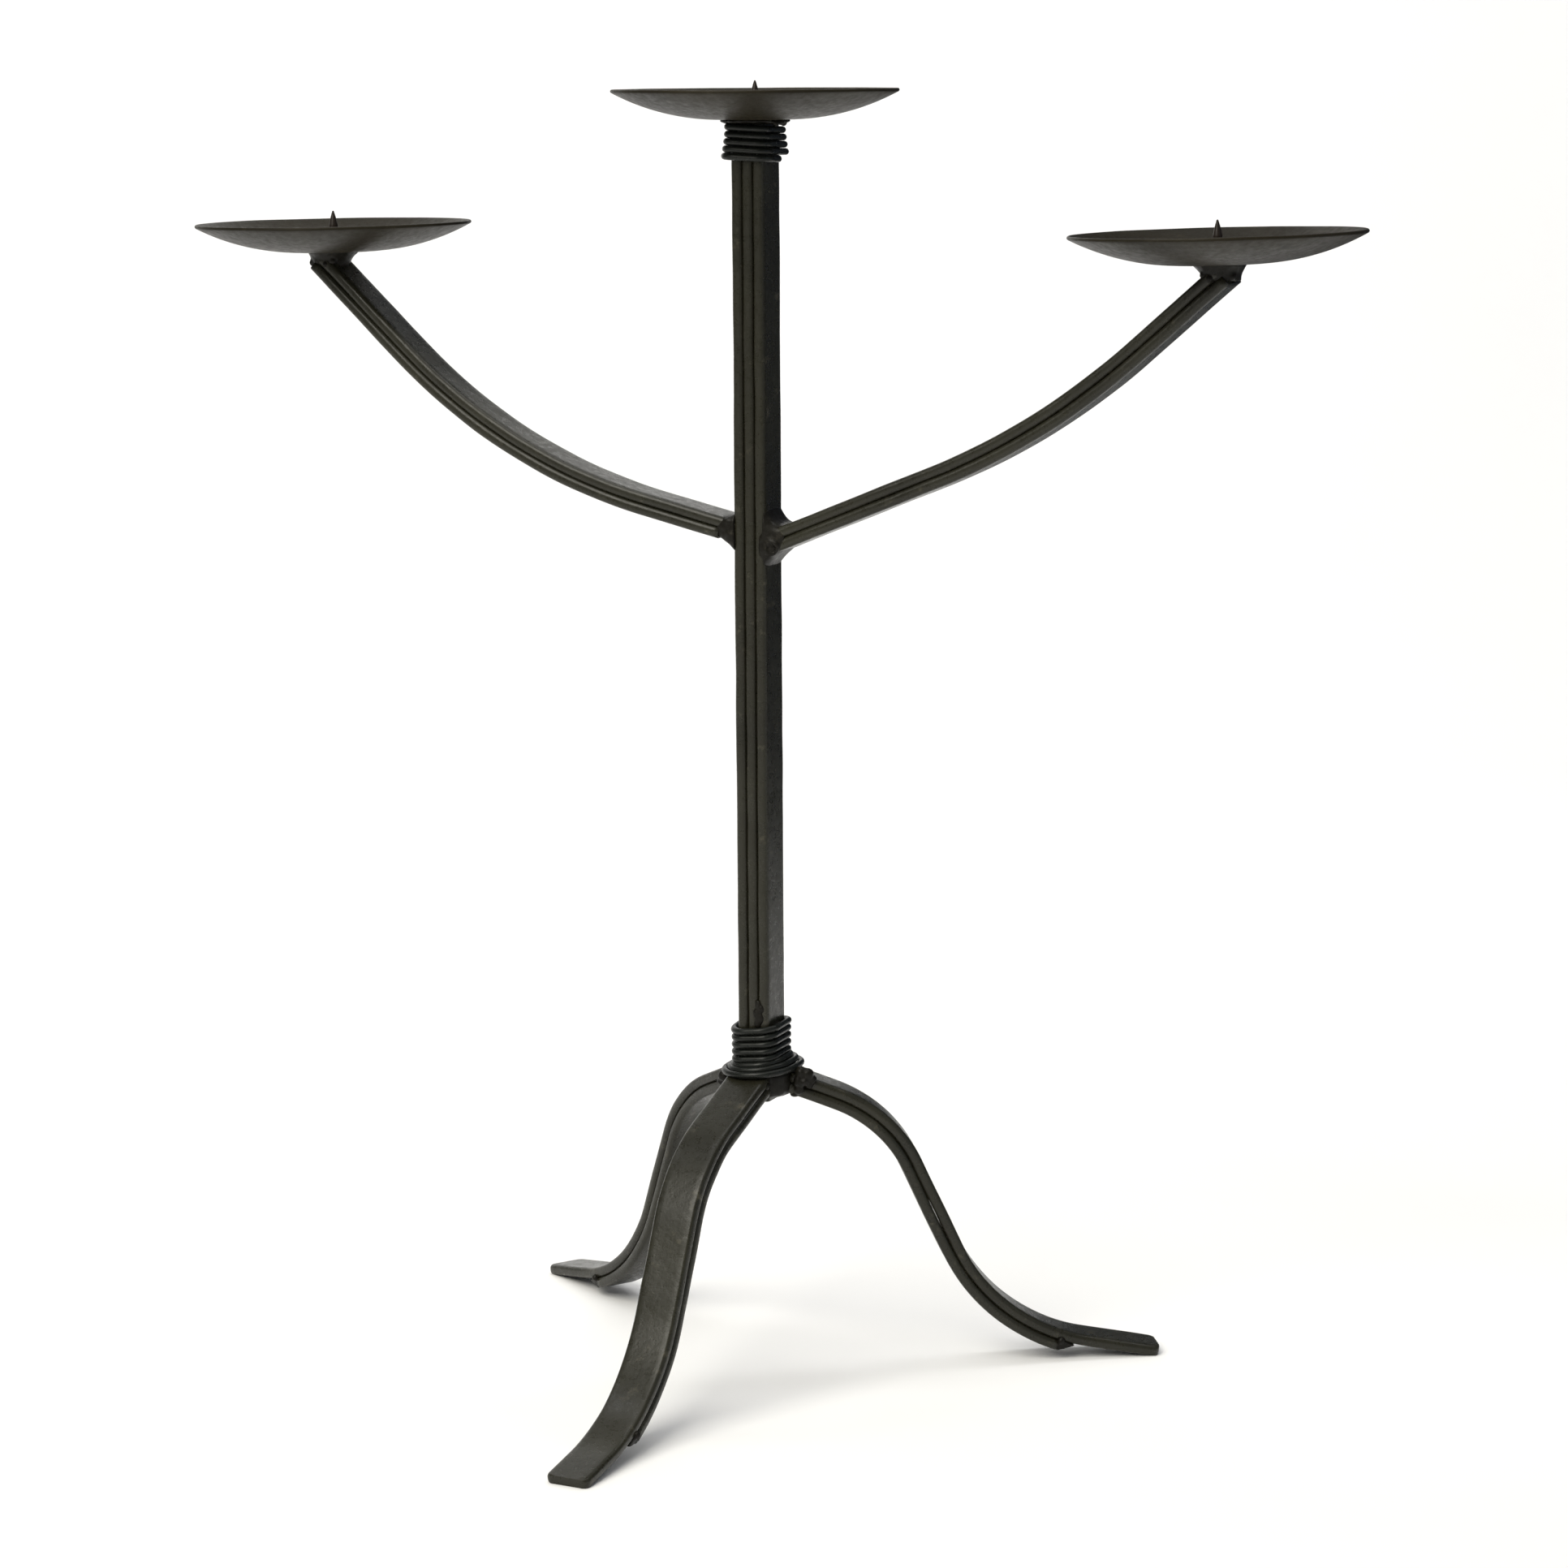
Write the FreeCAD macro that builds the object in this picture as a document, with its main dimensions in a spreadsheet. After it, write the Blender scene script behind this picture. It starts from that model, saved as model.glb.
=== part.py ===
import FreeCAD, Part
import math
import os
import Sketcher
from FreeCAD import Vector

# Three-light wrought candelabrum, welded up from flat bar.
# Millimetres, +Z up. The origin is on the floor under the stem's axis and the arms lie along X.

NODE_FOLDER = "parts"
os.makedirs(NODE_FOLDER, exist_ok=True)
doc = FreeCAD.newDocument("Candelabrum")

# ---------------------------------------------------------------- driving dimensions
DIMENSIONS = [
    ("bar_width", 16.0, "flat bar stock, width"),
    ("bar_thickness", 4.0, "flat bar stock, thickness"),
    ("bar_edge_radius", 1.1, "rounding of the long edges of the bar"),
    ("stem_bars", 3, "bars laid side by side in the stem"),
    ("stem_bottom", 101.0, "height of the stem's lower end"),
    ("centre_rim_height", 458.1, "height of the centre pan's rim"),
    ("arm_rim_height", 410.7, "height of the side pans' rims"),
    ("arm_reach", 167.4, "stem axis to side pan axis"),
    ("pan_diameter", 100.0, "outside diameter of a pan"),
    ("pan_depth", 9.9, "widest part of the rim to underside of a pan"),
    ("pan_sheet", 1.3, "thickness of the pan sheet"),
    ("pan_flat_radius", 12.0, "flat middle of a pan"),
    ("spike_diameter", 3.2, "candle spike below its point"),
    ("spike_point_length", 5.2, "taper of a spike's point"),
    ("spike_tip_diameter", 0.7, "candle spike at its blunted point"),
    ("centre_spike_height", 12.0, "centre spike above the pan floor"),
    ("side_spike_height", 13.3, "side spikes above the pan floor"),
    ("left_upper_bar_gap", 2.5, "upper bar's end to the stem, filled with weld"),
    ("left_lower_bar_gap", 5.5, "lower bar's end to the stem, filled with weld"),
    ("right_upper_bar_gap", 1.0, "upper bar's end to the stem, filled with weld"),
    ("right_lower_bar_gap", 1.0, "lower bar's end to the stem, filled with weld"),
    ("left_arm_root_slope", 13.5, "degrees above level at the stem"),
    ("left_arm_tip_slope", 43.2, "degrees above level at the pan"),
    ("left_arm_knee_reach", 95.5, "where the two straights would meet"),
    ("left_arm_knee_height", 326.9, "height of that meeting"),
    ("left_arm_bend_radius", 210.0, "bend on the joint between the two bars"),
    ("right_arm_root_slope", 22.1, "degrees above level at the stem"),
    ("right_arm_tip_slope", 41.0, "degrees above level at the pan"),
    ("right_arm_knee_reach", 107.8, "where the two straights would meet"),
    ("right_arm_knee_height", 342.8, "height of that meeting"),
    ("right_arm_bend_radius", 255.0, "bend on the joint between the two bars"),
    ("leg_root_reach", 10.3, "stem axis to a leg's inner end"),
    ("leg_root_height", 111.4, "outer face of a leg at its inner end"),
    ("leg_root_slope", 22.0, "degrees below level at the hub"),
    ("leg_shin_slope", 65.2, "degrees below level on the steep run"),
    ("leg_shin_reach", 71.0, "outer face of the steep run at the height below"),
    ("leg_shin_height", 47.0, "height at which the reach above is taken"),
    ("leg_foot_slope", 11.0, "degrees below level at the foot"),
    ("leg_knee_radius", 54.0, "upper bend, on the outer face"),
    ("leg_ankle_radius", 65.0, "lower bend, on the outer face"),
    ("leg_tip_reach", 144.5, "stem axis to a leg's tip"),
    ("foot_flat_length", 3.5, "flat ground on the underside of a tip"),
    ("inner_end_slope", 19.0, "slope in the lower bend at which an inner bar ends"),
    ("front_inner_end_slope", 25.0, "the same for the front leg"),
    ("front_leg_azimuth", -93.5, "degrees from +X"),
    ("right_leg_azimuth", 29.5, "degrees from +X"),
    ("back_leg_azimuth", 146.0, "degrees from +X"),
    ("front_leg_spread", 9.0, "front leg's steep run stands this much further out"),
    ("wire_diameter", 2.4, "binding wire"),
    ("wire_pitch", 2.5, "one turn of the binding"),
    ("wire_clearance", 0.02, "inner side of the wire to the stem"),
    ("top_wrap_start", 445.3, "centre of the highest turn under the centre pan"),
    ("top_wrap_turns", 4.25, "turns under the centre pan"),
    ("top_wrap_slack", 0.22, "how much looser each turn under the pan sits than the one above"),
    ("base_straight_turns", 4.5, "turns at the base that hug the stem"),
    ("base_flare_turns", 3.0, "turns that spread over the shoulders of the legs"),
    ("base_wrap_slack", 0.35, "gap between the straight turns and the stem's faces"),
    ("base_flare_bottom", 111.9, "centre of the last turn"),
    ("base_flare_reach", 6.3, "how far the last turn has spread"),
    ("base_flare_drop", 1.45, "fall of one spreading turn"),
    ("base_wrap_lean", 0.45, "extra pitch on the +X side, which leans the wrap"),
    ("hub_weld_radius", 11.6, "weld metal between the legs and the stem"),
    ("hub_weld_top", 111.2, "top of that weld"),
    ("pan_weld_neck", 10.6, "centre pan weld, radius at its lower end"),
    ("pan_weld_spread", 14.5, "centre pan weld, radius against the pan"),
    ("pan_weld_height", 1.1, "centre pan weld, height"),
    ("side_weld_neck", 6.4, "side pan weld, radius at its lower end"),
    ("side_weld_spread", 9.0, "side pan weld, radius against the pan"),
    ("side_weld_height", 6.0, "side pan weld, height"),
    ("side_weld_shift", 2.2, "side pan weld, centre beyond the pan's axis"),
    ("left_weld_length", 8.0, "left arm weld, along the arm"),
    ("left_weld_rise", 4.0, "left arm weld, above the arm"),
    ("right_weld_length", 8.0, "right arm weld, along the arm"),
    ("right_weld_rise", 9.0, "right arm weld, above the arm"),
    ("arm_weld_drop", 2.5, "arm welds, below the arm"),
    ("arm_weld_side", 1.2, "arm welds, beyond the edges of the bar"),
    ("leg_weld_length", 4.5, "weld collar along a leg's root"),
    ("leg_weld_drop", 2.0, "that collar, below the leg"),
    ("leg_weld_side", 1.8, "that collar, beside the leg"),
    ("end_weld_run", 6.8, "ramp of weld at the end of an inner leg bar"),
    ("end_weld_width", 15.0, "width of that ramp"),
    ("seam_bead_radius", 1.8, "bead on the stem just above the base wrap"),
    ("seam_bead_low", 130.5, "lower end of that bead"),
    ("seam_bead_high", 137.5, "upper end of that bead"),
]

sheet = doc.addObject("Spreadsheet::Sheet", "Dimensions")
for row, (alias, value, meaning) in enumerate(DIMENSIONS, start=1):
    sheet.set("A%d" % row, alias)
    sheet.set("B%d" % row, str(value))
    sheet.set("C%d" % row, meaning)
    sheet.setAlias("B%d" % row, alias)
doc.recompute()


def dim(alias):
    return float(sheet.get(alias))


WIDTH = dim("bar_width")
THICK = dim("bar_thickness")
HALF_WIDTH = WIDTH / 2.0
PAN_CENTRE_UNDERSIDE = dim("centre_rim_height") - dim("pan_depth")
PAN_SIDE_UNDERSIDE = dim("arm_rim_height") - dim("pan_depth")
STEM_HALF_DEPTH = dim("stem_bars") * THICK / 2.0
LEGS = ("front", "right", "back")
LIP_PASSES = 8  # enough for the rim to settle at its stated width and height
nodes = []


# ---------------------------------------------------------------- flat geometry
def heading(degrees):
    """Unit vector in the (reach, height) plane."""
    return (math.cos(math.radians(degrees)), math.sin(math.radians(degrees)))


def crossing(point_a, way_a, point_b, way_b):
    """Where two lines, each a point and a way along it, cross."""
    cross = way_a[0] * way_b[1] - way_a[1] * way_b[0]
    gap = (point_b[0] - point_a[0], point_b[1] - point_a[1])
    along = (gap[0] * way_b[1] - gap[1] * way_b[0]) / cross
    return (point_a[0] + along * way_a[0], point_a[1] + along * way_a[1])


def shifted(point, way, offset):
    """A point moved to the left of a way by an offset."""
    return (point[0] - way[1] * offset, point[1] + way[0] * offset)


def stepped(point, way, distance):
    return (point[0] + way[0] * distance, point[1] + way[1] * distance)


class BentLine:
    """Straights joined by tangent bends. Each straight is (point, degrees); radii lie on the line itself."""

    def __init__(self, straights, radii):
        self.straights = [(point, heading(degrees)) for point, degrees in straights]
        self.angles = [degrees for _, degrees in straights]
        self.radii = radii

    def side(self, offset, start_cut, end_cut=None, end_degrees=None):
        """Edges of the line shifted left by offset, from one cut line to another or to a heading in the last bend."""
        lines = [(shifted(point, way, offset), way) for point, way in self.straights]
        here = crossing(*lines[0], *start_cut)
        edges = []
        for number, radius in enumerate(self.radii):
            before, after = lines[number], lines[number + 1]
            turn = self.angles[number + 1] - self.angles[number]
            hand = math.copysign(1.0, turn)
            bend = radius - offset * hand
            run = bend * math.tan(math.radians(abs(turn)) / 2.0)
            entry = stepped(crossing(*before, *after), before[1], -run)
            centre = shifted(entry, before[1], hand * bend)
            stops_here = end_degrees is not None and number == len(self.radii) - 1
            final = end_degrees if stops_here else self.angles[number + 1]
            middle = on_bend(centre, (self.angles[number] + final) / 2.0, hand * bend)
            leave = on_bend(centre, final, hand * bend)
            edges.append(("line", here, entry))
            edges.append(("arc", entry, middle, leave))
            here = leave
        if end_degrees is None:
            edges.append(("line", here, crossing(*lines[-1], *end_cut)))
        return edges


def on_bend(centre, degrees, reach):
    """The point of a bend at which its heading is the given one."""
    return shifted(centre, heading(degrees), -reach)


def reversed_edges(edges):
    return [(edge[0],) + tuple(reversed(edge[1:])) for edge in reversed(edges)]


def closed_outline(out_edges, end_points, back_edges):
    """Out along one side, through any points of the end, back along the other and home."""
    outline = list(out_edges)
    corners = [outline[-1][-1]] + list(end_points) + [back_edges[0][1]]
    for start, finish in zip(corners[:-1], corners[1:]):
        outline.append(("line", start, finish))
    outline += back_edges
    outline.append(("line", back_edges[-1][-1], out_edges[0][1]))
    return outline


# ---------------------------------------------------------------- features
def checked(feature):
    doc.recompute()
    if any(word in feature.State for word in ("Invalid", "Error")):
        raise RuntimeError("%s did not compute: %s" % (feature.Label, feature.State))
    if feature.Shape.isNull() or not feature.Shape.isValid():
        raise RuntimeError("%s has no valid shape" % feature.Label)
    return feature


def new_body(name):
    body = doc.addObject("PartDesign::Body", name)
    body.Label = name
    return body


def new_sketch(body, name, plane):
    sketch = body.newObject("Sketcher::SketchObject", name)
    origin_plane = [item for item in body.Origin.OriginFeatures if item.Role == plane][0]
    sketch.AttachmentSupport = [(origin_plane, "")]
    sketch.MapMode = "FlatFace"
    return sketch


def draw(sketch, outline, flip=1.0):
    """Add the outline's edges. A flip of -1 draws it on the other side of the vertical axis."""
    count = len(outline)
    for edge in outline:
        points = [Vector(flip * x, y, 0) for x, y in edge[1:]]
        if edge[0] == "line":
            sketch.addGeometry(Part.LineSegment(*points), False)
        else:
            sketch.addGeometry(Part.Arc(*points), False)
    for number in range(count):
        finish = Vector(flip * outline[number][-1][0], outline[number][-1][1], 0)
        following = (number + 1) % count
        this_end = end_nearest(sketch, number, finish)
        next_end = end_nearest(sketch, following, finish)
        sketch.addConstraint(Sketcher.Constraint("Coincident", number, this_end, following, next_end))


def end_nearest(sketch, geometry, point):
    """1 for the geometry's start, 2 for its end."""
    return min((1, 2), key=lambda end: sketch.getPoint(geometry, end).distanceToPoint(point))


def finish_node(feature, placement=None):
    if placement is not None:
        feature.Placement = placement
    checked(feature)
    nodes.append(feature)
    return feature


def long_side_edges(shape, shortest):
    """Names of the edges that run along the bar on its two side faces, apart from a ground flat."""
    names = []
    for number, edge in enumerate(shape.Edges, start=1):
        box = edge.BoundBox
        on_side = abs(abs(box.YMin) - HALF_WIDTH) < 1e-4 and box.YLength < 1e-4
        if on_side and edge.Length > shortest:
            names.append("Edge%d" % number)
    return names


def bent_bar(name, outline, flip=1.0, azimuth=0.0):
    """A flat bar bent on the flat: its edge-on outline, padded to the bar's width."""
    body = new_body(name)
    sketch = new_sketch(body, name + "_outline", "XZ_Plane")
    draw(sketch, outline, flip)
    pad = body.newObject("PartDesign::Pad", name + "_pad")
    pad.Profile = sketch
    pad.setExpression("Length", "Dimensions.bar_width")
    pad.Midplane = True
    checked(pad)
    rounding = body.newObject("PartDesign::Fillet", name + "_edges")
    rounding.Base = (pad, long_side_edges(pad.Shape, 2.0 * THICK))
    rounding.setExpression("Radius", "Dimensions.bar_edge_radius")
    body.Tip = rounding
    turn = FreeCAD.Rotation(Vector(0, 0, 1), azimuth)
    return finish_node(body, FreeCAD.Placement(Vector(0, 0, 0), turn))


# ---------------------------------------------------------------- stem
def stem_bar(name, centre_x):
    body = new_body(name)
    sketch = new_sketch(body, name + "_section", "XY_Plane")
    left, right = centre_x - THICK / 2.0, centre_x + THICK / 2.0
    corners = [(left, -HALF_WIDTH), (right, -HALF_WIDTH), (right, HALF_WIDTH), (left, HALF_WIDTH)]
    outline = [("line", corners[i], corners[(i + 1) % 4]) for i in range(4)]
    draw(sketch, outline)
    sketch.AttachmentOffset = FreeCAD.Placement(Vector(0, 0, dim("stem_bottom")), FreeCAD.Rotation())
    pad = body.newObject("PartDesign::Pad", name + "_pad")
    pad.Profile = sketch
    pad.setExpression(
        "Length", "Dimensions.centre_rim_height - Dimensions.pan_depth - Dimensions.stem_bottom"
    )
    checked(pad)
    upright = [
        "Edge%d" % number
        for number, edge in enumerate(pad.Shape.Edges, start=1)
        if edge.BoundBox.ZLength > THICK
    ]
    rounding = body.newObject("PartDesign::Fillet", name + "_edges")
    rounding.Base = (pad, upright)
    rounding.setExpression("Radius", "Dimensions.bar_edge_radius")
    body.Tip = rounding
    return finish_node(body)


stem_left = stem_bar("stem_bar_left", -THICK)
stem_middle = stem_bar("stem_bar_middle", 0.0)
stem_right = stem_bar("stem_bar_right", THICK)
stem = [stem_left, stem_middle, stem_right]


# ---------------------------------------------------------------- arms
def arm_line(side):
    knee = (dim(side + "_arm_knee_reach"), dim(side + "_arm_knee_height"))
    root, tip = dim(side + "_arm_root_slope"), dim(side + "_arm_tip_slope")
    return BentLine([(knee, root), (knee, tip)], [dim(side + "_arm_bend_radius")])


def arm_bars(side, flip):
    """Two bars laid flat on each other, cut upright against the stem and level under the pan."""
    line = arm_line(side)
    under_pan = ((0.0, PAN_SIDE_UNDERSIDE), heading(0))
    bars = []
    for name, low, high in (("upper", 0.0, THICK), ("lower", -THICK, 0.0)):
        at_stem = ((STEM_HALF_DEPTH + dim("%s_%s_bar_gap" % (side, name)), 0.0), heading(90))
        below = line.side(low, at_stem, under_pan)
        above = line.side(high, at_stem, under_pan)
        outline = closed_outline(below, [], reversed_edges(above))
        bars.append(bent_bar("%s_arm_%s_bar" % (side, name), outline, flip))
    return bars


left_arm = arm_bars("left", -1.0)
right_arm = arm_bars("right", 1.0)


# ---------------------------------------------------------------- legs
def leg_line(spread):
    """The outer face of a leg, from the hub down to the tip."""
    root = (dim("leg_root_reach"), dim("leg_root_height"))
    shin = (dim("leg_shin_reach") + spread, dim("leg_shin_height"))
    foot_slope = -dim("leg_foot_slope")
    ground_depth = dim("foot_flat_length") * math.sin(math.radians(dim("leg_foot_slope")))
    underside = (dim("leg_tip_reach"), -ground_depth)
    foot = shifted(underside, heading(foot_slope), THICK)
    straights = [(root, -dim("leg_root_slope")), (shin, -dim("leg_shin_slope")), (foot, foot_slope)]
    return BentLine(straights, [dim("leg_knee_radius"), dim("leg_ankle_radius")])


def inner_end_slope(side):
    return dim("front_inner_end_slope" if side == "front" else "inner_end_slope")


def leg_bars(side, azimuth, spread):
    """An outer bar that reaches the floor and an inner bar that stops short of it."""
    line = leg_line(spread)
    at_hub = ((dim("leg_root_reach"), 0.0), heading(90))
    foot_point, foot_way = line.straights[-1]
    square = (-foot_way[1], foot_way[0])
    tip = (foot_point, square)
    floor = ((0.0, 0.0), heading(0))
    tip_on_floor = crossing(*tip, *floor)
    outer_top = line.side(0.0, at_hub, tip)
    outer_under = line.side(-THICK, at_hub, floor)
    outline = closed_outline(outer_top, [tip_on_floor], reversed_edges(outer_under))
    outer = bent_bar(side + "_leg_outer_bar", outline, 1.0, azimuth)
    end_degrees = -inner_end_slope(side)
    inner_top = line.side(-THICK, at_hub, end_degrees=end_degrees)
    inner_under = line.side(-2.0 * THICK, at_hub, end_degrees=end_degrees)
    inner = bent_bar(
        side + "_leg_inner_bar", closed_outline(inner_top, [], reversed_edges(inner_under)), 1.0, azimuth
    )
    return outer, inner


legs = {}
for side in LEGS:
    spread = dim("front_leg_spread") if side == "front" else 0.0
    legs[side] = leg_bars(side, dim(side + "_leg_azimuth"), spread)


# ---------------------------------------------------------------- pans and spikes
def pan_outline():
    """Section of a pan: level floor, then one long curve up to a rounded rim."""
    radius, lip = dim("pan_diameter") / 2.0, dim("pan_sheet") / 2.0
    flat, depth, sheet_thickness = dim("pan_flat_radius"), dim("pan_depth"), dim("pan_sheet")
    sweep = 0.0
    for _ in range(LIP_PASSES):
        end_reach = radius - lip * (1.0 - math.sin(sweep))
        end_depth = depth - lip * math.cos(sweep)
        sweep = 2.0 * math.atan(end_depth / (end_reach - flat))
    bend = (end_reach - flat) / math.sin(sweep)

    def on_curve(part, inward):
        angle = sweep * part
        reach = bend - inward
        return (flat + reach * math.sin(angle), bend - reach * math.cos(angle))

    lip_centre = on_curve(1.0, lip)
    lip_middle = stepped(lip_centre, heading(math.degrees(sweep)), lip)
    return [
        ("line", (0.0, 0.0), (flat, 0.0)),
        ("arc", (flat, 0.0), on_curve(0.5, 0.0), on_curve(1.0, 0.0)),
        ("arc", on_curve(1.0, 0.0), lip_middle, on_curve(1.0, sheet_thickness)),
        ("arc", on_curve(1.0, sheet_thickness), on_curve(0.5, sheet_thickness), (flat, sheet_thickness)),
        ("line", (flat, sheet_thickness), (0.0, sheet_thickness)),
        ("line", (0.0, sheet_thickness), (0.0, 0.0)),
    ]


def spike_outline(height):
    """Section of a round spike with a tapered, blunted point."""
    foot, tip = dim("spike_diameter") / 2.0, dim("spike_tip_diameter") / 2.0
    shoulder = height - dim("spike_point_length")
    corners = [(0.0, 0.0), (foot, 0.0), (foot, shoulder), (tip, height), (0.0, height)]
    return [("line", corner, following) for corner, following in zip(corners, corners[1:] + corners[:1])]


def turned_node(name, outline, position):
    body = new_body(name)
    sketch = new_sketch(body, name + "_section", "XZ_Plane")
    draw(sketch, outline)
    turned = body.newObject("PartDesign::Revolution", name + "_turned")
    turned.Profile = sketch
    turned.ReferenceAxis = (sketch, ["V_Axis"])
    turned.Angle = 360.0
    body.Tip = turned
    return finish_node(body, FreeCAD.Placement(position, FreeCAD.Rotation()))


PANS = {
    "centre": Vector(0, 0, PAN_CENTRE_UNDERSIDE),
    "left": Vector(-dim("arm_reach"), 0, PAN_SIDE_UNDERSIDE),
    "right": Vector(dim("arm_reach"), 0, PAN_SIDE_UNDERSIDE),
}
pans = {}
for side, underside in PANS.items():
    pans[side] = turned_node(side + "_pan", pan_outline(), underside)
    spike_height = dim("centre_spike_height") if side == "centre" else dim("side_spike_height")
    floor_of_pan = underside + Vector(0, 0, dim("pan_sheet"))
    turned_node(side + "_spike", spike_outline(spike_height), floor_of_pan)


# ---------------------------------------------------------------- binding wire
CORNERS = ((1, -1), (1, 1), (-1, 1), (-1, -1))
BEND_OPENING = math.sqrt(2.0) / (math.sqrt(2.0) - 1.0)  # how fast a bend may open with slack and still clear a corner
SHORTEST_RUN = 0.8


def corner_share(number):
    """How much of a turn is behind each of the stem's four corners, by length."""
    around = 2.0 * (STEM_HALF_DEPTH + HALF_WIDTH)
    return (0.0, WIDTH / 2.0, around / 2.0, (around + WIDTH) / 2.0)[number] / around


def wire_coil(name, count_of_turns, slack_at, height_at):
    """A wire wound around the stem: straight runs along its faces, joined by bends around its corners.

    Where the wire stands off the faces by some slack, its bends open out until they all but touch the corners.
    """
    snug = dim("wire_diameter") / 2.0 + dim("wire_clearance")
    path, radii = [], []
    for number in range(-1, int(round(4 * count_of_turns)) + 1):
        whole, corner = divmod(number, 4)
        sign_x, sign_y = CORNERS[corner]
        turns = whole + corner_share(corner)
        slack = slack_at(turns)
        offset = snug + slack
        x, y = sign_x * (STEM_HALF_DEPTH + offset), sign_y * (HALF_WIDTH + offset)
        path.append(Vector(x, y, height_at(turns, sign_x)))
        open_bend = snug + dim("bar_edge_radius") + BEND_OPENING * slack
        radii.append(min(open_bend, STEM_HALF_DEPTH + offset - SHORTEST_RUN))
    path.insert(0, Vector(path[0].x, 0.0, path[0].z))
    path.append((path[-2] + path[-1]) * 0.5)
    del path[-2]
    return own_shape(name, tube_along(path, radii, dim("wire_diameter") / 2.0))


def tube_along(corners, radii, tube_radius):
    """A closed solid tube along straight runs with a tangent bend at each inner corner."""
    edges, here = [], corners[0]
    for before, corner, after, radius in zip(corners, corners[1:], corners[2:], radii):
        way_in, way_out = (corner - before).normalize(), (after - corner).normalize()
        half_turn = way_in.getAngle(way_out) / 2.0
        entry = corner - way_in * (radius * math.tan(half_turn))
        leave = corner + way_out * (radius * math.tan(half_turn))
        inward = (way_out - way_in).normalize()
        middle = corner + inward * (radius * (1.0 / math.cos(half_turn) - 1.0))
        edges.append(Part.LineSegment(here, entry).toShape())
        edges.append(Part.Arc(entry, middle, leave).toShape())
        here = leave
    edges.append(Part.LineSegment(here, corners[-1]).toShape())
    first_way = (corners[1] - corners[0]).normalize()
    ring = Part.Wire(Part.makeCircle(tube_radius, corners[0], first_way))
    return Part.Wire(edges).makePipeShell([ring], True, False)


def own_shape(name, shape):
    feature = doc.addObject("Part::Feature", name)
    feature.Label = name
    feature.Shape = shape
    return finish_node(feature)


def top_slack(turns):
    return dim("top_wrap_slack") * max(0.0, turns)


def top_height(turns, _side):
    return dim("top_wrap_start") - dim("wire_pitch") * turns


def base_slack(turns):
    share = (turns - dim("base_straight_turns")) / dim("base_flare_turns")
    return dim("base_wrap_slack") + (dim("base_flare_reach") - dim("base_wrap_slack")) * max(0.0, share)


def base_height(turns, side):
    """Leans toward +X over the turns that hug the stem, level where the turns spread."""
    flare_left = min(dim("base_flare_turns"), total_base_turns - turns)
    straight_left = max(0.0, dim("base_straight_turns") - turns)
    pitch = dim("wire_pitch") + dim("base_wrap_lean") * (side + 1.0) / 2.0
    return dim("base_flare_bottom") + dim("base_flare_drop") * flare_left + pitch * straight_left


total_base_turns = dim("base_straight_turns") + dim("base_flare_turns")
wire_coil("top_wire_wrap", dim("top_wrap_turns"), top_slack, top_height)
wire_coil("base_wire_wrap", total_base_turns, base_slack, base_height)


# ---------------------------------------------------------------- welds
def cut_from(shape, features):
    """Weld metal with the pieces it joins taken out of it."""
    for feature in features:
        shape = shape.cut(feature.Shape)
    solids = sorted(shape.Solids, key=lambda solid: -solid.Volume)
    return solids[0]


def cone_at(centre, low_radius, high_radius, height):
    return Part.makeCone(low_radius, high_radius, height, centre - Vector(0, 0, height), Vector(0, 0, 1))


def rectangle(x, half_y, low_z, high_z):
    corners = [(x, -half_y, low_z), (x, half_y, low_z), (x, half_y, high_z), (x, -half_y, high_z)]
    return Part.makePolygon([Vector(*corner) for corner in corners + corners[:1]])


def arm_weld(side, flip, bars):
    """A four-sided fillet of weld where an arm meets the stem, tapering out along the arm."""
    line = arm_line(side)
    length, rise = dim(side + "_weld_length"), dim(side + "_weld_rise")
    sections = []
    for reach, above, below, beyond in (
        (STEM_HALF_DEPTH, rise, dim("arm_weld_drop"), dim("arm_weld_side")),
        (STEM_HALF_DEPTH + length, 0.4, 0.4, 0.4),
    ):
        upright = ((reach, 0.0), heading(90))
        low = line.side(-THICK, upright, upright)[0][1][1]
        high = line.side(THICK, upright, upright)[0][1][1]
        sections.append(rectangle(flip * reach, HALF_WIDTH + beyond, low - below, high + above))
    weld = Part.makeLoft(sections, True, True)
    return own_shape(side + "_arm_weld", cut_from(weld, bars + stem))


def turned_about_stem(shape, azimuth):
    shape.rotate(Vector(0, 0, 0), Vector(0, 0, 1), azimuth)
    return shape


def end_weld(side, spread):
    """A ramp of weld from the cut end of the inner leg bar up to the outer bar."""
    line = leg_line(spread)
    at_hub = ((dim("leg_root_reach"), 0.0), heading(90))
    inner_degrees = -inner_end_slope(side)
    bend = dim("leg_ankle_radius") + THICK
    advance = math.degrees(dim("end_weld_run") / bend)
    high = line.side(-THICK, at_hub, end_degrees=inner_degrees)[-1][-1]
    middle = line.side(-THICK, at_hub, end_degrees=inner_degrees + advance / 2.0)[-1][-1]
    far = line.side(-THICK, at_hub, end_degrees=inner_degrees + advance)[-1][-1]
    low = line.side(-2.0 * THICK, at_hub, end_degrees=inner_degrees)[-1][-1]
    half = dim("end_weld_width") / 2.0
    high, middle, far, low = (Vector(x, -half, z) for x, z in (high, middle, far, low))
    edges = [
        Part.Arc(high, middle, far).toShape(),
        Part.LineSegment(far, low).toShape(),
        Part.LineSegment(low, high).toShape(),
    ]
    ramp = Part.Face(Part.Wire(edges)).extrude(Vector(0, 2.0 * half, 0))
    return own_shape(side + "_leg_end_weld", turned_about_stem(ramp, dim(side + "_leg_azimuth")))


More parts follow.
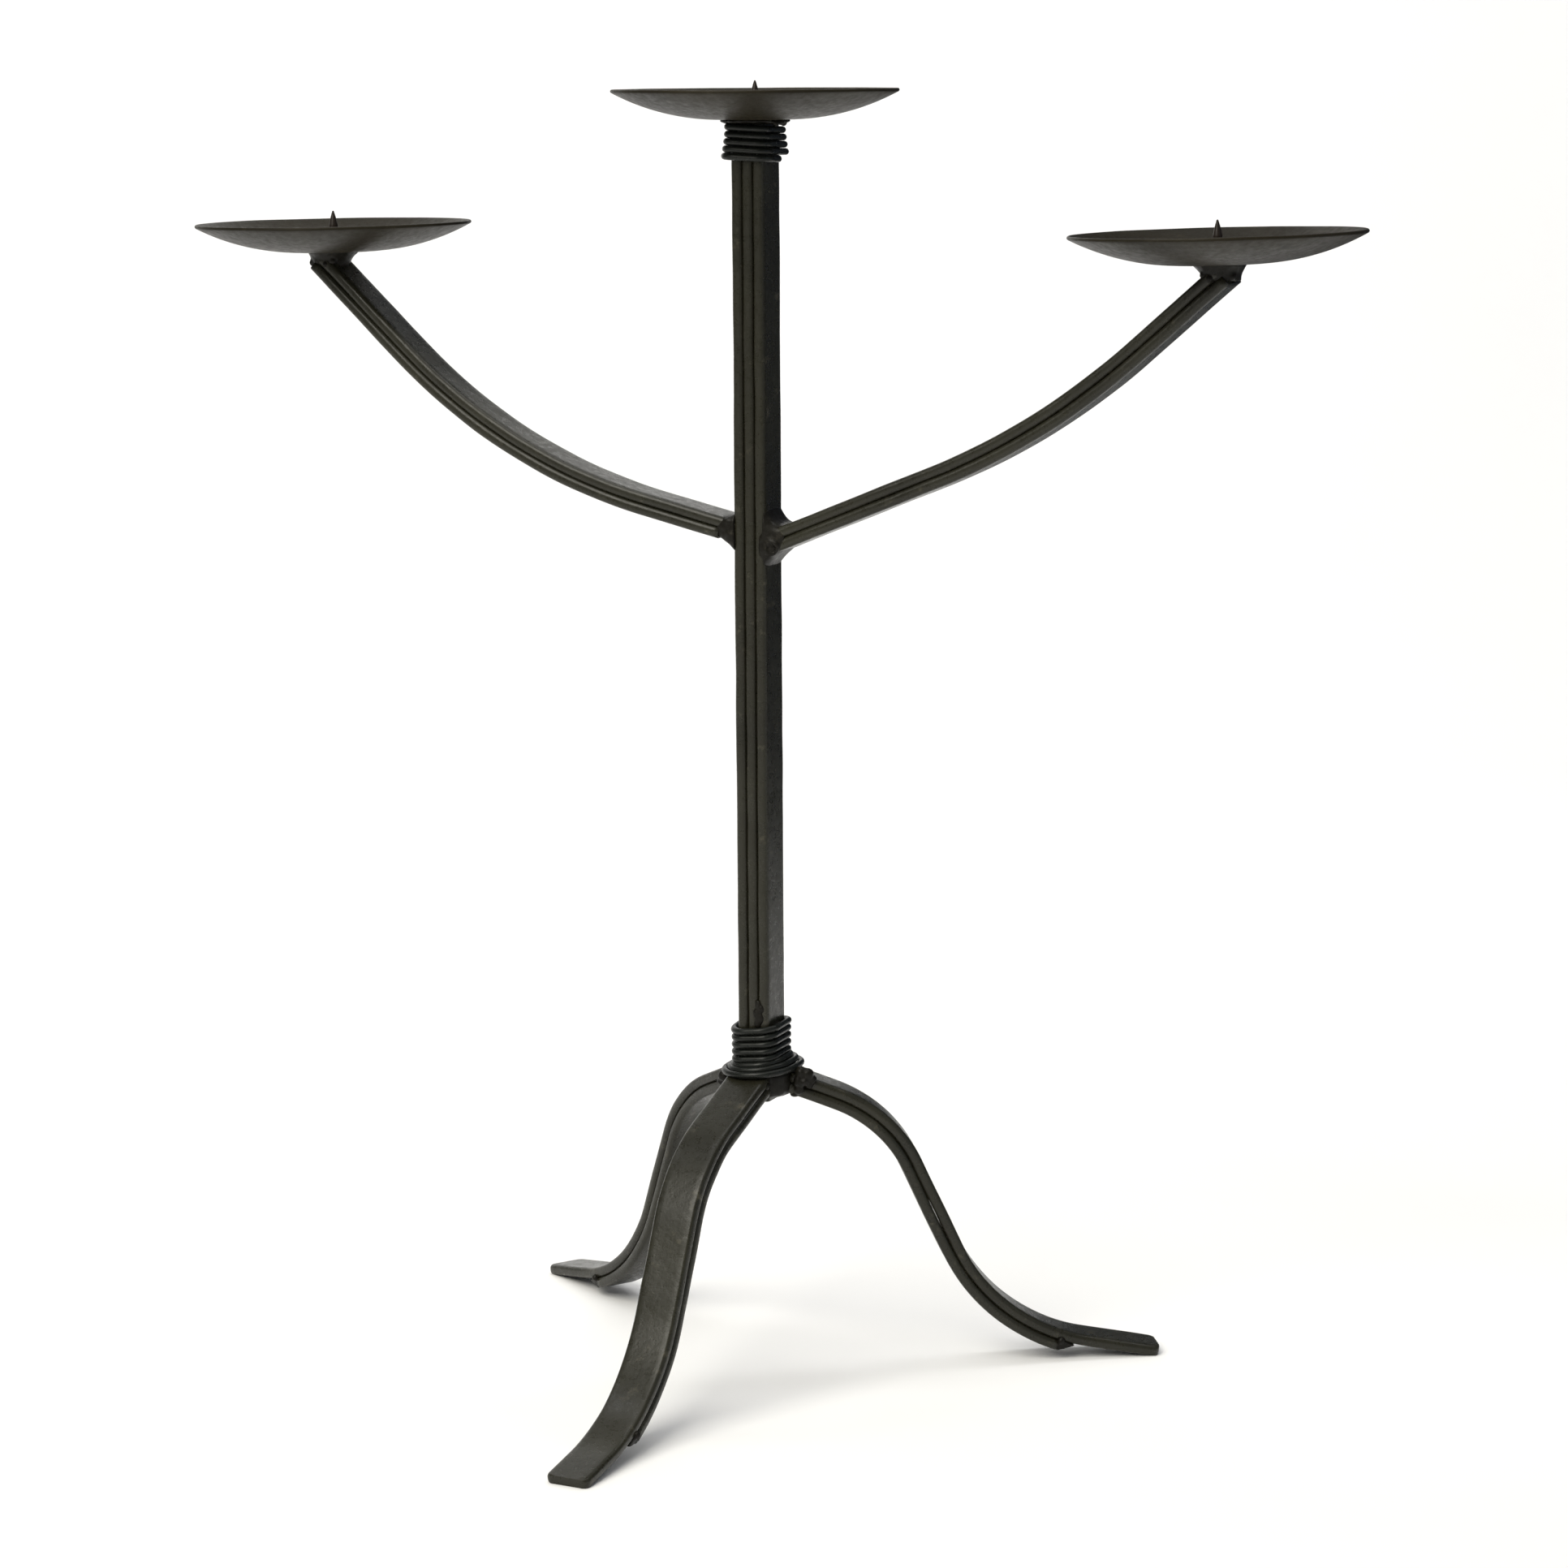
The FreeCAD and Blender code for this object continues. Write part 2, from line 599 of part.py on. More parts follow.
def root_weld(side, spread, hub):
    """A collar of weld under and beside a leg's root, tapering out along the leg."""
    line = leg_line(spread)
    sections = []
    for along, below, beside in ((0.0, dim("leg_weld_drop"), dim("leg_weld_side")), (1.0, 0.4, 0.4)):
        reach = dim("leg_root_reach") + along * dim("leg_weld_length")
        upright = ((reach, 0.0), heading(90))
        low = line.side(-2.0 * THICK, upright, end_degrees=-dim("leg_foot_slope"))[0][1][1]
        high = line.side(-THICK / 2.0, upright, end_degrees=-dim("leg_foot_slope"))[0][1][1]
        sections.append(rectangle(reach, HALF_WIDTH + beside, low - below, high))
    collar = turned_about_stem(Part.makeLoft(sections, True, True), dim(side + "_leg_azimuth"))
    return own_shape(side + "_leg_weld", cut_from(collar, list(legs[side]) + [hub]))


centre_weld = cone_at(
    PANS["centre"], dim("pan_weld_neck"), dim("pan_weld_spread"), dim("pan_weld_height")
)
own_shape("centre_pan_weld", cut_from(centre_weld, stem))
for side, flip, bars in (("left", -1.0, left_arm), ("right", 1.0, right_arm)):
    arm_weld(side, flip, bars)
    seat = PANS[side] + Vector(flip * dim("side_weld_shift"), 0, 0)
    neck = cone_at(seat, dim("side_weld_neck"), dim("side_weld_spread"), dim("side_weld_height"))
    own_shape(side + "_pan_weld", cut_from(neck, bars))

hub_height = dim("hub_weld_top") - dim("stem_bottom")
hub_metal = Part.makeCylinder(dim("hub_weld_radius"), hub_height, Vector(0, 0, dim("stem_bottom")))
leg_pieces = [bar for side in LEGS for bar in legs[side]]
hub_weld = own_shape("leg_hub_weld", cut_from(hub_metal, stem + leg_pieces))
for side in LEGS:
    spread = dim("front_leg_spread") if side == "front" else 0.0
    root_weld(side, spread, hub_weld)
    end_weld(side, spread)

seam = Part.makeCylinder(
    dim("seam_bead_radius"),
    dim("seam_bead_high") - dim("seam_bead_low"),
    Vector(THICK / 2.0, -HALF_WIDTH, dim("seam_bead_low")),
)
own_shape("stem_seam_weld", cut_from(seam, stem))


# ---------------------------------------------------------------- check and write
doc.recompute()
labels = [feature.Label for feature in nodes]
if len(set(labels)) != len(labels):
    raise RuntimeError("two nodes share a name")
for item in doc.Objects:
    if any(word in item.State for word in ("Invalid", "Error")):
        raise RuntimeError("%s did not compute" % item.Label)
for feature in nodes:
    if feature.Shape.isNull() or not feature.Shape.isValid():
        raise RuntimeError("%s has no valid shape" % feature.Label)
    feature.Shape.exportStep(os.path.join(NODE_FOLDER, feature.Label + ".step"))
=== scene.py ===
import math

import bmesh
import bpy
from mathutils import Matrix, Vector, noise


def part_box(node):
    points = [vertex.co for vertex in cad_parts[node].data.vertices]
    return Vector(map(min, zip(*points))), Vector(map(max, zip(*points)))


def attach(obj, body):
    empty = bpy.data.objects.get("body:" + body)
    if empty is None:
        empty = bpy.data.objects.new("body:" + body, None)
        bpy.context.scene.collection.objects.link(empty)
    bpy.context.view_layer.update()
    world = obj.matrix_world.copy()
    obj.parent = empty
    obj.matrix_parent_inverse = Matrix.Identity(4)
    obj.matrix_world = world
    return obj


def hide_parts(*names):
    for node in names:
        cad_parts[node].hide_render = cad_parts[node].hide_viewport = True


# Looks of the wrought candelabrum. Metres, in the CAD frame: stem on the Z axis, arms along X.

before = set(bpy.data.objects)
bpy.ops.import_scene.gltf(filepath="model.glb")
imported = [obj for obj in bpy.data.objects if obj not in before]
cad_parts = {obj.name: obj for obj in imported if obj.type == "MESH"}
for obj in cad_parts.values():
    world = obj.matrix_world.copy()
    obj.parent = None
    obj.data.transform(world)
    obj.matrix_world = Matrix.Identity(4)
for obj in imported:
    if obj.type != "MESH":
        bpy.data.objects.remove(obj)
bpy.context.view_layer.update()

MM = 0.001
WIDTH = 16.0 * MM  # of every flat bar
THICK = 4.0 * MM
EDGE = 1.55 * MM  # how round the bars' long edges are
WIRE = 2.4 * MM  # diameter of the binding wire


# ---------------------------------------------------------------- materials
TROUGH_SHADE = 0.62  # how dark the paint's clouds get
RELIEF_DEPTH = 0.4 * MM


def noded_material(name):
    """A material, its node tree and its shader."""
    material = bpy.data.materials.new(name)
    material.use_nodes = True
    return material, material.node_tree, material.node_tree.nodes["Principled BSDF"]


def clouds(tree, scale, detail=2.0, roughness=0.5):
    """Noise over the object's own coordinates."""
    place = tree.nodes.new("ShaderNodeTexCoord")
    node = tree.nodes.new("ShaderNodeTexNoise")
    node.inputs["Scale"].default_value = scale
    node.inputs["Detail"].default_value = detail
    node.inputs["Roughness"].default_value = roughness
    tree.links.new(place.outputs["Object"], node.inputs["Vector"])
    return node


def ramp(tree, source, start, end):
    """Turn a noise's value into a colour or a grey, from one (position, value) to another."""
    node = tree.nodes.new("ShaderNodeValToRGB")
    for element, (position, value) in zip(node.color_ramp.elements, (start, end)):
        element.position = position
        element.color = (value, value, value, 1.0) if isinstance(value, float) else (*value, 1.0)
    tree.links.new(source.outputs["Fac"], node.inputs["Fac"])
    return node


def paint(name, colour, rough, shine, wear_colour, wear, grain, bump):
    """Dark satin paint over worked steel: cloudy colour, rubbed high spots, brushed and pitted surface."""
    material, tree, shader = noded_material(name)
    shader.inputs["Metallic"].default_value = 0.0
    shader.inputs["Specular IOR Level"].default_value = shine
    broad = clouds(tree, 28.0, 3.0, 0.55)
    fine = clouds(tree, 420.0, 4.0, 0.65)
    rubbed = clouds(tree, 130.0, 5.0, 0.7)
    darker = tuple(TROUGH_SHADE * channel for channel in colour)
    tone = ramp(tree, broad, (0.35, darker), (0.68, colour))
    spots = ramp(tree, rubbed, (0.60, 0.0), (0.74, wear))
    mix = tree.nodes.new("ShaderNodeMix")
    mix.data_type = "RGBA"
    mix.inputs["B"].default_value = (*wear_colour, 1.0)
    tree.links.new(spots.outputs["Color"], mix.inputs["Factor"])
    tree.links.new(tone.outputs["Color"], mix.inputs["A"])
    tree.links.new(mix.outputs["Result"], shader.inputs["Base Color"])
    gloss = ramp(tree, fine, (0.3, rough - 0.08), (0.75, rough + 0.12))
    tree.links.new(gloss.outputs["Color"], shader.inputs["Roughness"])
    add = tree.nodes.new("ShaderNodeMath")
    add.operation = "MULTIPLY_ADD"
    add.inputs[1].default_value = grain
    tree.links.new(fine.outputs["Fac"], add.inputs[0])
    tree.links.new(rubbed.outputs["Fac"], add.inputs[2])
    relief = tree.nodes.new("ShaderNodeBump")
    relief.inputs["Strength"].default_value = bump
    relief.inputs["Distance"].default_value = RELIEF_DEPTH
    tree.links.new(add.outputs["Value"], relief.inputs["Height"])
    tree.links.new(relief.outputs["Normal"], shader.inputs["Normal"])
    return material


BAR_PAINT = paint(
    "bar_paint", (0.022, 0.021, 0.013), rough=0.30, shine=0.30,
    wear_colour=(0.095, 0.086, 0.060), wear=0.55, grain=0.5, bump=0.35,
)
PAN_PAINT = paint(
    "pan_paint", (0.018, 0.0145, 0.0075), rough=0.42, shine=0.12,
    wear_colour=(0.045, 0.038, 0.024), wear=0.35, grain=0.6, bump=0.22,
)
WIRE_PAINT = paint(
    "wire_paint", (0.009, 0.0105, 0.0085), rough=0.30, shine=0.24,
    wear_colour=(0.045, 0.044, 0.036), wear=0.30, grain=0.5, bump=0.15,
)
WELD_PAINT = paint(
    "weld_paint", (0.009, 0.0080, 0.0056), rough=0.38, shine=0.15,
    wear_colour=(0.070, 0.062, 0.046), wear=0.50, grain=0.8, bump=0.45,
)
SPIKE_PAINT = paint(
    "spike_paint", (0.020, 0.014, 0.010), rough=0.36, shine=0.20,
    wear_colour=(0.070, 0.055, 0.040), wear=0.55, grain=0.5, bump=0.25,
)


# ---------------------------------------------------------------- mesh helpers
def linked(name, data):
    """A new object in the scene that holds a mesh, a light or a camera."""
    thing = bpy.data.objects.new(name, data)
    bpy.context.scene.collection.objects.link(thing)
    return thing


def object_from(name, builder):
    """Turn a finished builder into an object in the scene."""
    mesh = bpy.data.meshes.new(name)
    builder.to_mesh(mesh)
    builder.free()
    return linked(name, mesh)


def piece_from(name, fill, material, nodes):
    """Make a smooth-shaded piece that stands for CAD nodes; fill adds its faces to a builder."""
    builder = bmesh.new()
    fill(builder)
    bmesh.ops.recalc_face_normals(builder, faces=builder.faces)
    piece = object_from(name, builder)
    piece.data.shade_smooth()
    piece.data.materials.append(material)
    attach(piece, "root")
    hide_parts(*nodes)
    return piece


def wander(position, size, seed):
    """A smooth wobble between -1 and 1 that depends on place alone."""
    return noise.noise(Vector(position) / size + Vector((seed * 7.3, seed * 3.1, seed * 5.7)))


def swept(builder, rings):
    """Join rings of points, all the same count, into a closed skin with capped ends."""
    loops = [[builder.verts.new(point) for point in ring] for ring in rings]
    count = len(loops[0])
    for here, there in zip(loops, loops[1:]):
        for i in range(count):
            builder.faces.new((here[i], here[(i + 1) % count], there[(i + 1) % count], there[i]))
    builder.faces.new(loops[0])
    builder.faces.new(list(reversed(loops[-1])))


# ---------------------------------------------------------------- bars
CORNER_STEPS = 4
HAMMERED = 0.16 * MM  # how far the hammer leaves a wide face out of true
EDGE_HAMMERED = 1.3  # the narrow edges' share of that
FACE_WAVE, EDGE_WAVE = 18.0 * MM, 13.0 * MM
END_SHARE = 0.86  # a bar's end face, next to its section


def bar_section(width, thick, edge):
    """Rounded rectangle as (across, up) points, with extra points along the wide faces."""
    points = []
    for sign_a, sign_u, first in ((1, -1, -90), (1, 1, 0), (-1, 1, 90), (-1, -1, 180)):
        for step in range(CORNER_STEPS + 1):
            angle = math.radians(first + 90 * step / CORNER_STEPS)
            points.append((
                sign_a * (width / 2 - edge) + edge * math.cos(angle),
                sign_u * (thick / 2 - edge) + edge * math.sin(angle),
            ))
        if sign_a == sign_u:
            side = 1 if sign_u > 0 else -1
            for share in (0.3, 0.1, -0.1, -0.3):
                points.append((side * share * width, side * thick / 2))
    return points


def heading(degrees):
    """The direction of a slope, as (reach, height)."""
    return math.cos(math.radians(degrees)), math.sin(math.radians(degrees))


def bent_line(straights, radii, start, end, step=2.0 * MM):
    """Sampled (reach, height, degrees) along straights joined by tangent bends.

    A straight is a point on it and its slope in degrees.
    """
    samples = []

    def run(point, degrees, length):
        way = heading(degrees)
        count = max(1, int(round(length / step)))
        for i in range(count):
            distance = length * i / count
            samples.append((point[0] + way[0] * distance, point[1] + way[1] * distance, degrees))

    here = start
    for number, radius in enumerate(radii):
        (p, a), (q, b) = straights[number], straights[number + 1]
        way_a, way_b = heading(a), heading(b)
        cross = way_a[0] * way_b[1] - way_a[1] * way_b[0]
        along = ((q[0] - p[0]) * way_b[1] - (q[1] - p[1]) * way_b[0]) / cross
        corner = (p[0] + way_a[0] * along, p[1] + way_a[1] * along)
        turn = math.radians(b - a)
        lead = radius * math.tan(abs(turn) / 2)
        entry = (corner[0] - way_a[0] * lead, corner[1] - way_a[1] * lead)
        run(here, a, math.dist(here, entry))
        hand = math.copysign(1.0, turn)
        centre = (entry[0] - way_a[1] * hand * radius, entry[1] + way_a[0] * hand * radius)
        count = max(2, int(round(radius * abs(turn) / step)))
        for i in range(count):
            degrees = a + (b - a) * i / count
            way = heading(degrees)
            samples.append((centre[0] + way[1] * hand * radius, centre[1] - way[0] * hand * radius, degrees))
        way = heading(b)
        here = (centre[0] + way[1] * hand * radius, centre[1] - way[0] * hand * radius)
    last = straights[-1][1]
    run(here, last, math.dist(here, end))
    samples.append((end[0], end[1], last))
    return samples


def forged_bar(name, node, samples, offset, azimuth, seed, flip=1.0, tip_radius=0.0):
    """A flat bar swept along samples at an offset, its faces and edges slightly uneven from the hammer.

    A tip radius rounds the two corners of the bar's far end. Nothing goes below the floor.
    """
    section = bar_section(WIDTH, THICK, EDGE)
    turn = Matrix.Rotation(math.radians(azimuth), 3, "Z")

    def build(builder):
        rings = []
        for reach, height, degrees in samples:
            way = heading(degrees)
            to_end = math.dist((reach, height), samples[-1][:2])
            lack = max(0.0, tip_radius - to_end)
            narrowing = 1 - (tip_radius - math.sqrt(tip_radius ** 2 - lack ** 2)) / (WIDTH / 2)
            ring = []
            for across, up in section:
                across *= narrowing
                lift = offset + up
                x, z = reach - way[1] * lift, height + way[0] * lift
                place = (x, across, z)
                x -= way[1] * HAMMERED * wander(place, FACE_WAVE, seed)
                z += way[0] * HAMMERED * wander(place, FACE_WAVE, seed)
                edge_seed = seed + (11 if across > 0 else 23)
                y = across + EDGE_HAMMERED * HAMMERED * wander((x, 0.0, z), EDGE_WAVE, edge_seed)
                z = max(z, 0.0)
                ring.append(turn @ Vector((flip * x, y, z)))
            rings.append(ring)
        first, last = rings[0], rings[-1]
        swept(builder, [shrunk(first, END_SHARE)] + rings + [shrunk(last, END_SHARE)])

    return piece_from(name, build, BAR_PAINT, [node])


def shrunk(ring, share):
    """A ring drawn in towards its middle, so that an end has a softened arris."""
    middle = sum(ring, Vector()) / len(ring)
    return [middle + (point - middle) * share for point in ring]


# Stem: three bars side by side, reach measured along X, the offset moving each bar sideways.
STEM_LOW, STEM_HIGH = 101.0 * MM, 448.2 * MM
STEM_STEPS = 170
upright = [(0.0, STEM_LOW + (STEM_HIGH - STEM_LOW) * i / STEM_STEPS, 90.0) for i in range(STEM_STEPS + 1)]
for number, (side, offset) in enumerate((("left", THICK), ("middle", 0.0), ("right", -THICK))):
    forged_bar("stem_%s_forged" % side, "stem_bar_" + side, upright, offset, azimuth=0.0, seed=3 + number)

# Arms: the sampled line is the joint between the upper and the lower bar. Its two straights have the slopes
# root and tip, meet at the knee, and are joined by an arc of radius bend. The bars' reaches begin at starts.
ARMS = {
    "left": {
        "flip": -1.0, "knee": (95.5 * MM, 326.9 * MM), "root": 13.5, "tip": 43.2,
        "bend": 210.0 * MM, "starts": (8.5 * MM, 11.5 * MM),
    },
    "right": {
        "flip": 1.0, "knee": (107.8 * MM, 342.8 * MM), "root": 22.1, "tip": 41.0,
        "bend": 255.0 * MM, "starts": (7.0 * MM, 7.0 * MM),
    },
}
ARM_TOP = 397.6 * MM
for number, (side, arm) in enumerate(ARMS.items()):
    knee, root, tip = arm["knee"], arm["root"], arm["tip"]
    end = (knee[0] + (ARM_TOP - knee[1]) / math.tan(math.radians(tip)), ARM_TOP)
    for part, reach, offset in zip(("upper", "lower"), arm["starts"], (THICK / 2, -THICK / 2)):
        start = (reach, knee[1] - (knee[0] - reach) * math.tan(math.radians(root)))
        line = bent_line([(knee, root), (knee, tip)], [arm["bend"]], start, end)
        name = "%s_arm_%s" % (side, part)
        seed = 12 + 3 * number + (part == "lower")
        forged_bar(name + "_forged", name + "_bar", line, offset, azimuth=0.0, seed=seed, flip=arm["flip"])

# Legs: the sampled line is the outer face of the outer bar. Each leg has its azimuth, how much further out
# its shin stands, and the slope at which its inner bar stops.
LEGS = {"front": (-93.5, 9.0 * MM, 25.0), "right": (29.5, 0.0, 19.0), "back": (146.0, 0.0, 19.0)}
ROOT_PLACE = (10.3 * MM, 111.4 * MM)
SHIN_PLACE = (71.0 * MM, 47.0 * MM)
ROOT_SLOPE, SHIN_SLOPE, FOOT_SLOPE = -22.0, -65.2, -11.0
HIP_BEND, ANKLE_BEND = 54.0 * MM, 65.0 * MM
TOE_REACH = 144.5 * MM
TOE_FLAT = 3.5 * MM  # the stretch of the toe's underside that lies flat on the floor
TOE_RADIUS = 2.2 * MM
TOE_STEPS = (2.0, 1.5, 1.0, 0.6, 0.3, 0.1, 0.0)  # the last samples' distances from the end, in millimetres
along_foot = heading(FOOT_SLOPE)
foot = (TOE_REACH - THICK * along_foot[1], THICK * along_foot[0] + TOE_FLAT * along_foot[1])
toe_line = []
for back in TOE_STEPS:
    toe_line.append((foot[0] - back * MM * along_foot[0], foot[1] - back * MM * along_foot[1], FOOT_SLOPE))
INNER_ENDS = {}
for number, (side, (azimuth, spread, inner_end)) in enumerate(LEGS.items()):
    shin = (SHIN_PLACE[0] + spread, SHIN_PLACE[1])
    straights = [(ROOT_PLACE, ROOT_SLOPE), (shin, SHIN_SLOPE), (foot, FOOT_SLOPE)]
    line = bent_line(straights, [HIP_BEND, ANKLE_BEND], ROOT_PLACE, foot)
    outer_line = [sample for sample in line if math.dist(sample[:2], foot) > TOE_RADIUS] + toe_line
    forged_bar(
        side + "_leg_outer_forged", side + "_leg_outer_bar", outer_line, -THICK / 2, azimuth,
        seed=21 + number, tip_radius=TOE_RADIUS,
    )
    steepest = next(i for i, sample in enumerate(line) if sample[2] <= SHIN_SLOPE)
    stop = next(i for i in range(steepest, len(line)) if line[i][2] > -inner_end)
    forged_bar(
        side + "_leg_inner_forged", side + "_leg_inner_bar", line[:stop], -1.5 * THICK, azimuth,
        seed=31 + number,
    )
    INNER_ENDS[side] = line[stop - 1], line[stop]


# ---------------------------------------------------------------- pans and spikes
SHEET = 1.3 * MM
DENT, DENT_WAVE = 0.12 * MM, 22.0 * MM
DENTS_FROM = 12.0 * MM  # the reach at which dents have their full depth
LIP_PASSES = 8  # enough for the lip to settle at its stated radius and depth
DISH_STEPS, LIP_STEPS = 22, 8


def lathe(builder, outline, steps, centre, tilt, dents, seed):
    """Turn an outline about its own axis, dent it lightly, tip it and put it in place."""
    rings = []
    for reach, height in outline:
        ring = []
        for i in range(steps):
            angle = 2 * math.pi * i / steps
            x, y = reach * math.cos(angle), reach * math.sin(angle)
            z = height + dents * wander((x, y, 0.0), DENT_WAVE, seed) * min(1.0, reach / DENTS_FROM)
            ring.append(Vector((x, y, z)))
        rings.append(ring)
    lean = Matrix.Rotation(math.radians(tilt), 3, "Y")
    swept(builder, [[lean @ point + Vector(centre) for point in ring] for ring in rings])


def pan_outline():
    """From the middle of the underside, out to the rim, over its rounded lip and back across the dish."""
    radius, flat, depth = 50.0 * MM, 12.0 * MM, 9.9 * MM
    core, middle = 0.4 * MM, 6.0 * MM
    lip = SHEET / 2
    sweep = 0.0
    for _ in range(LIP_PASSES):
        end_reach = radius - lip * (1 - math.sin(sweep))
        end_depth = depth - lip * math.cos(sweep)
        sweep = 2 * math.atan(end_depth / (end_reach - flat))
    bend = (end_reach - flat) / math.sin(sweep)
    outline = [(core, 0.0), (middle, 0.0), (flat, 0.0)]
    for i in range(1, DISH_STEPS + 1):
        angle = sweep * i / DISH_STEPS
        outline.append((flat + bend * math.sin(angle), bend * (1 - math.cos(angle))))
    centre = (flat + (bend - lip) * math.sin(sweep), bend - (bend - lip) * math.cos(sweep))
    for i in range(1, LIP_STEPS):
        angle = sweep - math.pi / 2 + math.pi * i / LIP_STEPS
        outline.append((centre[0] + lip * math.cos(angle), centre[1] + lip * math.sin(angle)))
    inner = bend - SHEET
    for i in range(DISH_STEPS, 0, -1):
        angle = sweep * i / DISH_STEPS
        outline.append((flat + inner * math.sin(angle), bend - inner * math.cos(angle)))
    return outline + [(flat, SHEET), (middle, SHEET), (core, SHEET)]


def spike_outline(height):
    """A round shank with a filed point, standing in a small ring of weld."""
    point, shoulder, tip = 5.2 * MM, 1.6 * MM, 0.3 * MM
    outline = [(0.2 * MM, -0.2 * MM), (2.9 * MM, -0.2 * MM), (2.8 * MM, 0.3 * MM), (2.1 * MM, 0.8 * MM)]
    outline += [(shoulder, 1.3 * MM), (shoulder, height - point - 0.4 * MM)]
    steps, filed_belly = 10, 0.10 * MM
    for i in range(steps + 1):
        share = i / steps
        swell = filed_belly * math.sin(math.pi * share)
        outline.append((shoulder + (tip - shoulder) * share + swell, height - point * (1 - share)))
    return outline + [(0.1 * MM, height + 0.15 * MM)]


PAN_TILT = {"centre": 0.0, "left": -0.7, "right": -1.4}
SPIKE_HEIGHT = {"centre": 12.0 * MM, "left": 13.3 * MM, "right": 13.3 * MM}
for number, (side, tilt) in enumerate(PAN_TILT.items()):
    low, high = (Vector(corner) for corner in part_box(side + "_pan"))
    centre = ((low.x + high.x) / 2, (low.y + high.y) / 2, low.z)
    piece_from(
        side + "_pan_spun",
        lambda builder: lathe(builder, pan_outline(), 120, centre, tilt, dents=DENT, seed=41 + number),
        PAN_PAINT, [side + "_pan"],
    )
    seat = (centre[0], centre[1], centre[2] + SHEET)
    piece_from(
        side + "_spike_filed",
        lambda builder: lathe(builder, spike_outline(SPIKE_HEIGHT[side]), 20, seat, tilt, dents=0.0, seed=1),
        SPIKE_PAINT, [side + "_spike"],
    )


# ---------------------------------------------------------------- binding wire
HALF_X, HALF_Y = 1.5 * THICK, WIDTH / 2  # the stem's
STEPS_PER_TURN, WIRE_SIDES = 80, 14
LEAST_FLAT = 0.4 * MM  # half the shortest straight that a loop's bends leave


def around_stem(slack, opening, share):
    """A point and its outward way on a loop of wire about the stem, from the middle of the front face.

    A snug loop has tight bends; slack lifts it off the faces and opens the bends.
    """
    reach_x, reach_y = HALF_X + WIRE / 2 + slack, HALF_Y + WIRE / 2 + slack
    bend = min(EDGE + WIRE / 2 + opening * slack, reach_x - LEAST_FLAT)
    flat_x, flat_y = reach_x - bend, reach_y - bend
    quarter = math.pi / 2 * bend
    along = (share % 1.0) * (4 * flat_x + 4 * flat_y + 4 * quarter)
    if along <= flat_x:
        return Vector((along, -reach_y, 0)), Vector((0, -1, 0))
    along -= flat_x
    corners = ((flat_x, -flat_y, -90, 2 * flat_y), (flat_x, flat_y, 0, 2 * flat_x),
               (-flat_x, flat_y, 90, 2 * flat_y), (-flat_x, -flat_y, 180, flat_x))
    for x, y, first, run in corners:
        if along <= quarter:
            angle = math.radians(first) + along / bend
            way = Vector((math.cos(angle), math.sin(angle), 0))
            return Vector((x, y, 0)) + way * bend, way
        along -= quarter
        if along <= run:
            angle = math.radians(first + 90)
            way = Vector((math.cos(angle), math.sin(angle), 0))
            onward = Vector((-way.y, way.x, 0))
            return Vector((x, y, 0)) + way * bend + onward * along, way
        along -= run
    return Vector((0, -reach_y, 0)), Vector((0, -1, 0))


def wound_wire(name, node, first, last, slack_at, opening, height_at, seed):
    """A round wire wound about the stem, each turn sitting a little differently from the last."""
    def build(builder):
        rings = []
        for i in range(int(first * STEPS_PER_TURN), int(last * STEPS_PER_TURN) + 1):
            turn = i / STEPS_PER_TURN
            uneven = 0.10 * MM * (1 + wander((turn * 0.01, 0.0, 0.0), 0.006, seed))
            point, outward = around_stem(slack_at(turn) + uneven, opening, turn)
            point.z = height_at(turn, point) + 0.14 * MM * wander(point, 0.012, seed + 2)
            ring = []
            for k in range(WIRE_SIDES):
                angle = 2 * math.pi * k / WIRE_SIDES
                way = outward * math.cos(angle) + Vector((0, 0, 1)) * math.sin(angle)
                ring.append(point + way * WIRE / 2)
            rings.append(ring)
        swept(builder, [shrunk(rings[0], 0.5)] + rings + [shrunk(rings[-1], 0.5)])

    return piece_from(name, build, WIRE_PAINT, [node])


TOP_TURNS, STRAIGHT_TURNS, FLARE_TURNS = 4.25, 4.5, 3.0
PITCH = 2.5 * MM


def top_slack(turn):
    return 0.40 * MM * max(0.0, turn - 0.6)


def top_height(turn, _point):
    return 445.5 * MM - PITCH * turn


def base_slack(turn):
    loose = 0.7 * MM * max(0.0, 1.0 - turn)
    return 0.35 * MM + loose + 5.95 * MM * max(0.0, (turn - STRAIGHT_TURNS) / FLARE_TURNS)


def base_height(turn, point):
    """The whole wrap sits askew, lower on the left and in front; the spread turns less so."""
    flare_left = min(FLARE_TURNS, STRAIGHT_TURNS + FLARE_TURNS - turn)
    straight_left = max(0.0, STRAIGHT_TURNS - turn)
    level = 111.9 * MM + 1.45 * MM * flare_left + 2.62 * MM * straight_left
    askew = (0.92 * point.x + 0.40 * point.y) * 0.16 - 0.5 * MM
    return level + askew * (0.45 + 0.55 * flare_left / FLARE_TURNS)


wound_wire(
    "top_wire_wound", "top_wire_wrap", first=-0.25, last=TOP_TURNS,
    slack_at=top_slack, opening=1.4, height_at=top_height, seed=51,
)
wound_wire(
    "base_wire_wound", "base_wire_wrap", first=-0.25, last=STRAIGHT_TURNS + FLARE_TURNS,
    slack_at=base_slack, opening=3.2, height_at=base_height, seed=57,
)


